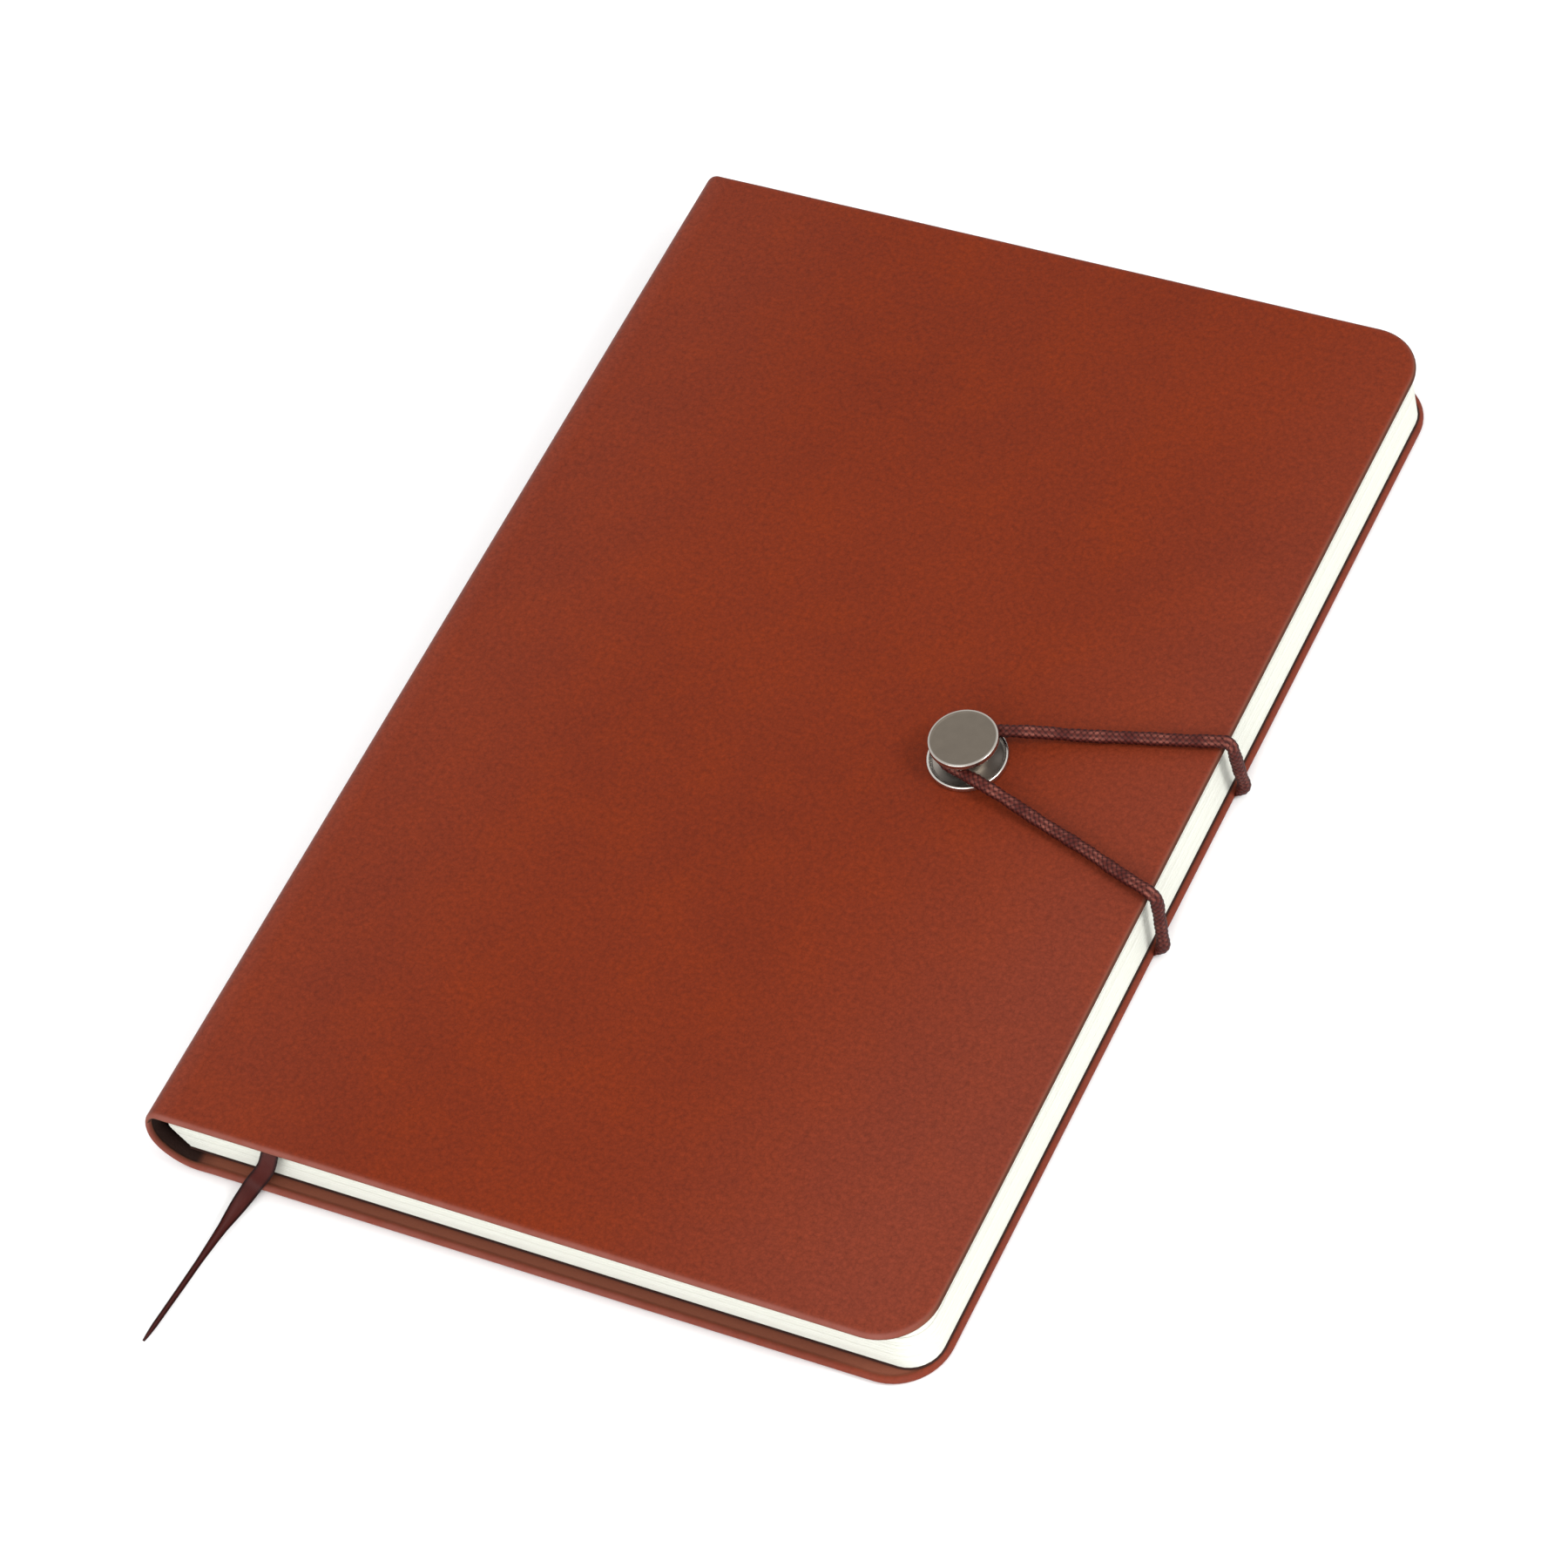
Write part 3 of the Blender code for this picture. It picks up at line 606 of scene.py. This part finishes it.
def leaf_profile(thickness, leaves, seed, corner):
    """Side of a section: each leaf stands a hair further in or out than its neighbours."""
    draw = random.Random(seed)
    loops = [(corner, 0.0), (2.0, 0.0), (0.5, 0.0)]
    each = thickness / leaves
    for k in range(leaves):
        out = 0.02 + 0.1 * draw.random()
        loops += [(out, (k + 0.18) * each), (out, (k + 0.82) * each)]
        if k < leaves - 1:
            loops.append((out + 0.07, (k + 1.0) * each))
    loops += [(0.5, thickness), (2.0, thickness), (corner, thickness)]
    return loops


def block_left(z):
    """Spine side of the text block at height z: it slants under the round of the spine."""
    return FORE - np.interp(z, BLOCK_HEIGHTS, BLOCK_WIDTHS)


def build_leaf(name, cad_node, material, leaves, seed, body, proud=0.0):
    """One section or flyleaf. A section that turns gets close rings over its fold; a single leaf is
    stiff.
    """
    bends = body != "back_cover" and leaves > 1
    low, high = box_mm(cad_node)
    profile = leaf_profile(high[2] - low[2], leaves, seed, PAGE_CORNER)
    profile = [(inset - proud if inset < PAGE_CORNER else inset, depth) for inset, depth in profile]
    length = high[0] - low[0]
    stations = list(np.arange(0, FOLD + 1, FOLD_STEP)) if bends else [0, 1, 3, 6]
    stations += list(np.linspace(SLANT, length - PAGE_CORNER, 20))
    flat, faces, loop = sheet(stations, (low[1], high[1], 20), PAGE_CORNER, 8, profile)
    z = high[2] - flat[:, 2]
    lean = np.clip(1 - flat[:, 0] / SLANT, 0, 1)
    root = block_left(z) + (STIFF_GAP if body != "back_cover" and not bends else 0.0)
    x = low[0] + flat[:, 0] + (root - low[0]) * lean
    points = np.stack([x, flat[:, 1], z], 1)
    edge = (loop > 2) & (loop < len(profile) - 3)
    made = finish_mesh(name, points, faces, material, 30, rest=points, edge=edge)
    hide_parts(cad_node)
    if bends:
        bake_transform(made)
    else:
        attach(made, body)


def build_pastedown(name, cad_node, body, front, material):
    """Paper pasted inside a cover, slightly uneven on the side that shows."""
    low, high = box_mm(cad_node)
    thickness = high[2] - low[2]
    profile = [(PASTED_CORNER, 0.0), (3.0, 0.0), (1.2, 0.0), (0.35, 0.02), (0.06, 0.1), (0.0, 0.2),
               (0.0, thickness), (1.2, thickness), (PASTED_CORNER, thickness)]
    stations = list(np.linspace(0, high[0] - low[0] - PASTED_CORNER, 30))
    flat, faces, loop = sheet(stations, (low[1], high[1], 40), PASTED_CORNER, 8, profile)
    ridge = np.clip((flat[:, 0] - 6) / 6, 0, 1) * (flat[:, 2] < 0.01)
    depth = flat[:, 2] + 0.05 * ridge * waves(flat[:, 0], flat[:, 1])
    z = low[2] + depth if front else high[2] - depth
    points = np.stack([low[0] + flat[:, 0], flat[:, 1], z], 1)
    made = finish_mesh(name, points, faces, material, rest=points, edge=np.zeros(len(loop)))
    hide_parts(cad_node)
    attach(made, body)


def build_paper():
    page = paper_material("ivory_paper", face_tint=rgb(206, 204, 192), tint=rgb(222, 223, 215),
                          edge_tint=rgb(203, 199, 188), contrast=0.3)
    # Dark endpaper, partly painted shade: the dark flyleaves show as thin dark lines under the front
    # cover and, standing proud, under the pages.
    end = paper_material("dark_endpaper_and_shade", face_tint=rgb(52, 32, 27), tint=rgb(52, 29, 24),
                         edge_tint=rgb(54, 24, 18), contrast=0.8)
    turning = {"section_01": "first_section", "section_02": "second_section"}
    build_leaf("front_flyleaf_sheet", "front_flyleaf", end, 1, 3, "first_leaf")
    build_leaf("rear_flyleaf_sheet", "rear_flyleaf", end, 1, 4, "back_cover",
               SHADE_LINE_PROUD)
    for number in range(1, 11):
        name = f"section_{number:02d}"
        build_leaf(name + "_leaves", name, page, LEAVES, 20 + number,
                   turning.get(name, "back_cover"))
    build_pastedown("rear_pastedown_sheet", "rear_pastedown", "back_cover", False, end)
    build_pastedown("front_pastedown_sheet", "front_pastedown", "front_cover", True, end)


# ---------------------------------------------------------------- cord

CORD_RADIUS = 1.2
CARRIERS = 6  # strands seen round the braid
PITCH = 1.05
AROUND = 42  # points round the cord
STEP = 0.13  # between rings along the cord
LIT_SIDE = (0.3, -0.45, 0.84)  # the lit side: the braid is painted darker away from it, and its pale dashes lie beside it
FOOT_SHIFT = 0.8  # the ends leave the cover this much nearer the tail
SLIT = 0.95  # length over which an end flattens into the cover's edge
SLIT_TOP = 2.2
NECK = 4.0  # from the button's axis to the cord's middle
LOOP_HEIGHT = 2.6  # of the turn round the neck, above the front cover
STRAND_HEIGHT = 1.3
SHARES = (0.14, 0.3, 0.45, 0.58, 0.7, 0.8, 0.9)  # places along a strand where it may sway
SWAY = {"tail": (-0.15, -0.5, -0.55, -0.55, -0.45, -0.3, -0.15),
        "head": (0.1, 0.3, 0.4, 0.4, 0.3, 0.1, 0)}


def braid(angle, along):
    """Height, 0 to 1, of a one-over-one tubular braid."""
    p = CARRIERS * angle / (2 * math.pi) + along / PITCH
    q = CARRIERS * angle / (2 * math.pi) - along / PITCH
    fp, fq = p - np.floor(p), q - np.floor(q)
    first = np.sin(math.pi * fp) ** 0.7 * (0.45 + 0.55 * np.sin(math.pi * fq))
    second = np.sin(math.pi * fq) ** 0.7 * (0.45 + 0.55 * np.sin(math.pi * fp))
    even = (np.floor(p) + np.floor(q)) % 2 == 0
    return np.where(even, first, second)


def braid_light_and_dashes(angles, height, across, up, s, offset, z):
    """How high the braid stands round one ring times a painted light that darkens the side away from
    the light, and how bright its dashes are.
    """
    outer = math.atan2(np.dot(LIT_SIDE, up), np.dot(LIT_SIDE, across))
    turn = (angles - outer + math.pi) % (2 * math.pi) - math.pi
    # painted shade on the side of the cord away from the light
    painted_light = np.clip(1.1 * np.cos(turn) + 0.25, 0.22, 1)
    # two rows of pale dashes, a real braid pattern, placed beside the lit side and painted fainter
    # lower down
    rows = np.exp(-((turn - 0.45) / 0.26) ** 2) + np.exp(-((turn + 0.45) / 0.26) ** 2)
    drift = 0.6 + 0.4 * math.sin(s * 0.61 + offset) + 0.3 * math.sin(s * 1.7)
    level = 0.45 + 0.55 * float(np.clip((z - TOP) / 1.5, 0, 1))
    dash = rows * level * max(drift, 0.1) * np.clip((height - 0.25) / 0.3, 0, 1)
    return height * painted_light, dash


def tube_faces(rings, around):
    """Faces of a closed tube of rings, with a flat face at each end."""
    last = (rings - 1) * around
    faces = [tuple(range(around)), tuple(range(last, last + around))]
    for i in range(0, last, around):
        for k in range(around):
            n = (k + 1) % around
            faces.append((i + k, i + n, i + around + n, i + around + k))
    return faces


def braided_tube(name, material, controls, offset=0.0):
    """Closed braided tube through the control points, and its length."""
    path, at = smooth_path(controls, STEP)
    angles = np.linspace(0, 2 * math.pi, AROUND, endpoint=False)
    points, rest, crest_and_shade, dash = [], [], [], []
    for point, s, (across, up) in zip(path, at, path_frames(path, (0, 1, 0))):
        tall, wide = cord_shape(point)
        height = braid(angles, s + offset)
        high, bright = braid_light_and_dashes(angles, height, across, up, s, offset, point[2])
        crest_and_shade.append(high)
        dash.append(bright)
        swell = 0.81 + 0.11 * height + 0.06 * math.sin(s * 1.1 + offset) * math.sin(s * 0.43)
        points.append(point + np.outer(np.cos(angles) * swell * wide, across)
                      + np.outer(np.sin(angles) * swell * tall, up))
        rest.append(np.stack([angles * CORD_RADIUS, np.full(AROUND, s + offset), height], 1))
    made = finish_mesh(name, np.concatenate(points), tube_faces(len(path), AROUND), material, 75,
                       rest=np.concatenate(rest), edge=np.concatenate(crest_and_shade),
                       dash=np.concatenate(dash))
    return made, at[-1]


def cord_shape(point):
    """Half height and half width: round, but flat where an end enters the back cover."""
    share = 0.0
    if point[2] <= SLIT_TOP:
        share = 1 - float(smooth_step(point[0], FORE, FORE + SLIT))
    return CORD_RADIUS * (1 - share) + 0.2 * share, CORD_RADIUS * (1 - share) + 1.6 * share


def build_cord():
    """The two ends, from inside the back cover to half height, and the loop between them."""
    material = cord_material()
    button_low, button_high = box_mm("button_cap")
    bx, by = (button_low[:2] + button_high[:2]) / 2
    out = joint_mm("cord_riser_swing")[0]
    middle_z = TOP / 2
    ends = {}
    for end in ("tail", "head"):
        low, high = box_mm(f"cord_anchor_{end}")
        riser_low, riser_high = box_mm(f"cord_riser_{end}")
        foot = (low[1] + high[1]) / 2 - FOOT_SHIFT
        top = riser_high[1] - CORD_RADIUS if end == "tail" else riser_low[1] + CORD_RADIUS
        ends[end] = (foot, top)
        middle = (foot + top) / 2
        controls = [(FORE - 7.5, foot, 0.75), (FORE - 3, foot, 0.75), (FORE - 0.4, foot, 0.77),
                    (FORE + 0.3, foot, 1.02), (FORE + 0.85, foot, 1.55), (out - 0.2, foot, 2.25),
                    (out, foot, 3.1), (out, foot + 0.15 * (top - foot), 4.6),
                    (out, middle, middle_z)]
        made, length = braided_tube(f"cord_foot_{end}", material, controls)
        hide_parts(f"cord_anchor_{end}", f"cord_riser_{end}")
        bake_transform(made)
    controls = cord_controls(ends, out, middle_z, bx, by)
    made, _ = braided_tube("cord_upper_loop", material, controls, offset=length)
    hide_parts("cord_loop")
    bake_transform(made)


def cord_controls(ends, out, middle_z, bx, by):
    """From mid-height of the tail strand, round the button's neck, to the head strand."""
    half = []
    for end, side in (("tail", -1), ("head", 1)):
        foot, top = ends[end]
        middle = (foot + top) / 2
        points = [(out, middle, middle_z), (out, middle + 0.5 * (top - middle), middle_z + 3.0),
                  (out, top, TOP - 1.2), (out - 0.16, top, TOP + 0.25),
                  (out - 0.75, top, TOP + 1.05), (out - 1.7, top - side * 0.25, TOP + 1.42)]
        start = np.array([out - 1.7, top - side * 0.25])
        reach = start - (bx, by)
        bearing = math.atan2(reach[1], reach[0])
        touch = bearing + side * math.acos(NECK / np.hypot(*reach))
        goal = np.array([bx + NECK * math.cos(touch), by + NECK * math.sin(touch)])
        for share, sway in zip(SHARES, SWAY[end]):
            climb = float(smooth_step(share, 0.5, 0.86)) * (LOOP_HEIGHT - STRAND_HEIGHT)
            x, y = start + (goal - start) * share
            points.append((x, y + side * sway, TOP + STRAND_HEIGHT + climb))
        half.append((points, touch))
    tail, tail_touch = half[0]
    head, head_touch = half[1]
    turn = []
    for angle in np.linspace(tail_touch, head_touch - 2 * math.pi, 11):
        turn.append((bx + NECK * math.cos(angle), by + NECK * math.sin(angle), TOP + LOOP_HEIGHT))
    return tail + turn + head[::-1]


# ---------------------------------------------------------------- button

TURNS = 96  # points round the metal pieces
# (radius, height above the front cover)
CAP = [(0, 4.55), (5.05, 4.55), (5.8, 4.62), (5.8, 5.8), (5.3, 5.8), (5.1, 5.7), (0, 5.66)]
FLANGE = [(2.3, 0.3), (2.3, 0.05), (6.2, 0.05), (6.75, 0.1), (6.75, 1.15), (6.15, 1.15),
          (6.05, 0.5), (5.2, 0.42), (2.3, 0.42), (2.3, 0.3)]
POST = [(0, -1.0), (2.0, -1.0), (2.0, 0.85), (2.6, 0.85), (2.6, 3.9), (3.4, 4.5), (0, 4.5)]
CAP_BRIGHT = 5.48  # radius from which the metal is painted bright: partly polished, partly a painted highlight
FLANGE_BRIGHT = 5.95
NEVER_BRIGHT = 9.0


def build_lathe(name, cad_node, profile, material, bright):
    """Round piece on the axis of its CAD node, painted bright beyond the radius bright: partly
    polished, partly a painted highlight.
    """
    low, high = box_mm(cad_node)
    centre = (low + high) / 2
    points, rest, rings, faces = [], [], [], []
    for radius, height in profile:
        first = len(points)
        rings.append([first + k for k in range(TURNS)] if radius else [first] * TURNS)
        for k in range(TURNS if radius else 1):
            angle = 2 * math.pi * k / TURNS
            points.append((centre[0] + radius * math.cos(angle),
                           centre[1] + radius * math.sin(angle), TOP + height))
            rest.append((radius, height, 0.0))
    pairs = list(zip(rings, rings[1:]))
    if profile[0][0] > 0:
        pairs.append((rings[-1], rings[0]))
    for a, b in pairs:
        for k in range(TURNS):
            n = (k + 1) % TURNS
            faces.append(tuple(dict.fromkeys((a[k], a[n], b[n], b[k]))))
    edge = smooth_step(np.array(rest)[:, 0], bright - 0.15, bright + 0.1)
    made = finish_mesh(name, points, faces, material, 35, rest=rest, place=points, edge=edge)
    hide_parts(cad_node)
    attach(made, "front_cover")


def round_off(corners, radius, steps=5):
    """Profile with each corner replaced by a small arc."""
    rounded = [corners[0]]
    for before, corner, after in zip(corners, corners[1:], corners[2:]):
        a, b, c = (np.array(p, float) for p in (before, corner, after))
        start = (a - b) / np.linalg.norm(a - b)
        stop = (c - b) / np.linalg.norm(c - b)
        reach = min(radius, np.linalg.norm(a - b) * 0.49, np.linalg.norm(c - b) * 0.49)
        p, q = b + start * reach, b + stop * reach
        for t in np.linspace(0, 1, steps + 1):
            rounded.append(tuple((1 - t) ** 2 * p + 2 * t * (1 - t) * b + t * t * q))
    rounded.append(corners[-1])
    return rounded


def build_button():
    satin = metal_material("satin_nickel", tint=rgb(120, 111, 100), polish_and_highlight=rgb(188, 182, 174))
    dish = metal_material("bright_nickel", tint=rgb(184, 176, 166), polish_and_highlight=rgb(206, 201, 194))
    build_lathe("button_cap_disc", "button_cap", round_off(CAP, 0.36), satin, CAP_BRIGHT)
    build_lathe("button_flange_dish", "button_flange", round_off(FLANGE, 0.45)[:-1], dish,
                FLANGE_BRIGHT)
    build_lathe("button_neck", "button_post", round_off(POST, 0.3), dish, NEVER_BRIGHT)


# ---------------------------------------------------------------- ribbon

RIBBON_STEP = 0.45
RIBBON_THICK = 0.16
RIBBON_ACROSS = 14  # strips across the ribbon
# (x, y, drop below the ribbon's level in the block), from the head to the tail edge of the pages
RIBBON_INSIDE = ((-63.0, 98.0, 0), (-60.8, 69.0, 0), (-58.5, 40.0, 0), (-55.5, 0.0, 0),
                 (-52.5, -40.0, 0), (-49.8, -72.0, 0), (-47.3, -99.0, 0), (-47.05, -101.6, 0.02),
                 (-46.9, -102.9, 0.4), (-47.1, -103.6, 1.5), (-48.1, -103.95, 3.9),
                 (-49.5, -104.35, 6.2), (-50.6, -104.85, 7.75))
# (x, y, z), from the back cover's edge to the tip
RIBBON_OUTSIDE = ((-51.05, -105.6, 1.75), (-51.35, -107.0, 1.5), (-51.75, -110.0, 1.35),
                  (-52.5, -116.5, 1.1), (-53.4, -125.0, 0.75), (-54.1, -131.2, 0.5),
                  (-54.7, -136.5, 0.3))
# width and curl of the ribbon at these y
RIBBON_KNOTS = (-136.5, -133.5, -121.0, -114.0, -109.0, -105.5)
RIBBON_WIDTHS = (0.35, 1.5, 1.9, 2.3, 2.8, 3.1)
RIBBON_CURLS = (150, 235, 235, 170, 60, 8)


def build_ribbon():
    """One ribbon from between the sections to its free tip, where its edges roll up."""
    level = box_mm("ribbon_inner")[1][2] - 0.1
    controls = [(x, y, level - drop) for x, y, drop in RIBBON_INSIDE] + list(RIBBON_OUTSIDE)
    path, at = smooth_path(controls, RIBBON_STEP)
    widths = np.interp(path[:, 1], RIBBON_KNOTS, RIBBON_WIDTHS)
    curls = np.radians(np.interp(path[:, 1], RIBBON_KNOTS, RIBBON_CURLS))
    row = np.linspace(-0.5, 0.5, RIBBON_ACROSS + 1)
    points, rest, edge = [], [], []
    frames = path_frames(path, (1, 0, 0))
    for point, s, width, bend, (across, up) in zip(path, at, widths, curls, frames):
        radius = width / bend
        for layer, shares in ((1, row), (-1, row[::-1])):
            reach = radius + layer * RIBBON_THICK / 2
            side = reach * np.sin(shares * bend)
            rise = radius - reach * np.cos(shares * bend)
            points.append(point + np.outer(side, across) + np.outer(rise, up))
            ones = np.ones(RIBBON_ACROSS + 1)
            rest.append(np.stack([shares * width, s * ones, layer * 0.1 * ones], 1))
            # painted shade: the ribbon darkens towards both of its sides
            edge.append(np.clip((np.abs(shares) - 0.33) / 0.1, 0, 1))
    faces = tube_faces(len(path), 2 * (RIBBON_ACROSS + 1))
    made = finish_mesh("ribbon_marker", np.concatenate(points), faces, ribbon_material(), 60,
                       rest=np.concatenate(rest), edge=np.concatenate(edge))
    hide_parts("ribbon_inner", "ribbon_tail")
    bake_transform(made)


# ---------------------------------------------------------------- scene

# In metres from here on.
FLOOR_HALF = 4.0
FLOOR_Z = -0.0002
CAMERA_LENS = 143.88
CAMERA_PLACE = (0.3994855, -0.511693, 0.8058783)
CAMERA_RIGHT = (0.8882983, 0.4232927, -0.1781836)
CAMERA_UP = (-0.2425368, 0.7618230, 0.6006676)
CAMERA_BACK = (0.3900026, -0.4903560, 0.7793901)
LIGHTS = {"key": ((1.15, 0.05, 1.05), 0.5, 13.0), "fill": ((0.0, -1.2, 0.7), 1.2, 12.5)}
DAYLIGHT = 0.97


def link(name, data):
    made = bpy.data.objects.new(name, data)
    bpy.context.scene.collection.objects.link(made)
    return made


def give(node_name, material):
    slots = frame["nodes"][node_name].data.materials
    slots.clear()
    slots.append(material)


def build_floor():
    mesh = bpy.data.meshes.new("floor")
    signs = ((-1, -1), (1, -1), (1, 1), (-1, 1))
    corners = [(a * FLOOR_HALF, b * FLOOR_HALF, FLOOR_Z) for a, b in signs]
    mesh.from_pydata(corners, [], [(0, 1, 2, 3)])
    material, _, shader = new_material("pale_floor")
    shader.inputs["Base Color"].default_value = (0.93, 0.93, 0.93, 1)
    surface(shader, roughness=0.9, specular=0.1)
    mesh.materials.append(material)
    link("floor", mesh)


def build_lights():
    """White surroundings, a key light from beyond the fore-edge and a fill from the tail."""
    sky = bpy.data.worlds.new("studio")
    sky.use_nodes = True
    background = sky.node_tree.nodes["Background"]
    background.inputs["Color"].default_value = (1, 1, 1, 1)
    background.inputs["Strength"].default_value = DAYLIGHT
    bpy.context.scene.world = sky
    for name, (location, size, power) in LIGHTS.items():
        data = bpy.data.lights.new(name, "AREA")
        data.shape = "DISK"
        data.size = size
        data.energy = power
        lamp = link(name, data)
        lamp.location = location
        lamp.rotation_euler = (-Vector(location)).to_track_quat("-Z", "Y").to_euler()


def build_camera():
    """Seen from beyond the tail's fore-edge corner, 51 degrees up, with a slight roll."""
    data = bpy.data.cameras.new("camera")
    data.lens = CAMERA_LENS
    data.sensor_width = 36.0
    camera = link("camera", data)
    turn = Matrix((CAMERA_RIGHT, CAMERA_UP, CAMERA_BACK)).transposed().to_4x4()
    camera.matrix_world = Matrix.Translation(CAMERA_PLACE) @ turn
    bpy.context.scene.camera = camera


def build():
    # The rim colour paints the pale rim, partly a painted highlight, and the painted sheen; the last
    # colour is the painted shade.
    leather = leather_material("red_brown_leather", dark=rgb(104, 35, 12), light=rgb(110, 38, 13),
                               warm=rgb(114, 39, 9), rim=rgb(122, 69, 59),
                               turn_in=rgb(109, 61, 45), painted_shade=rgb(38, 23, 19))
    build_case(leather)
    build_paper()
    build_cord()
    build_button()
    build_ribbon()
    board = card_material("pressed_card", low=rgb(120, 108, 92), high=rgb(166, 152, 132))
    give("back_cover_board", board)
    give("front_cover_board", board)
    give("spine_stiffener", card_material("dark_card", low=rgb(40, 26, 22), high=rgb(66, 46, 38)))
    give("spine_mull", mull_material())
    give("button_washer", card_material("washer_metal", low=rgb(120, 116, 110),
                                        high=rgb(170, 166, 160), metallic=1.0))
    build_floor()
    build_lights()
    build_camera()
    bpy.context.scene.view_settings.view_transform = "Standard"


build()
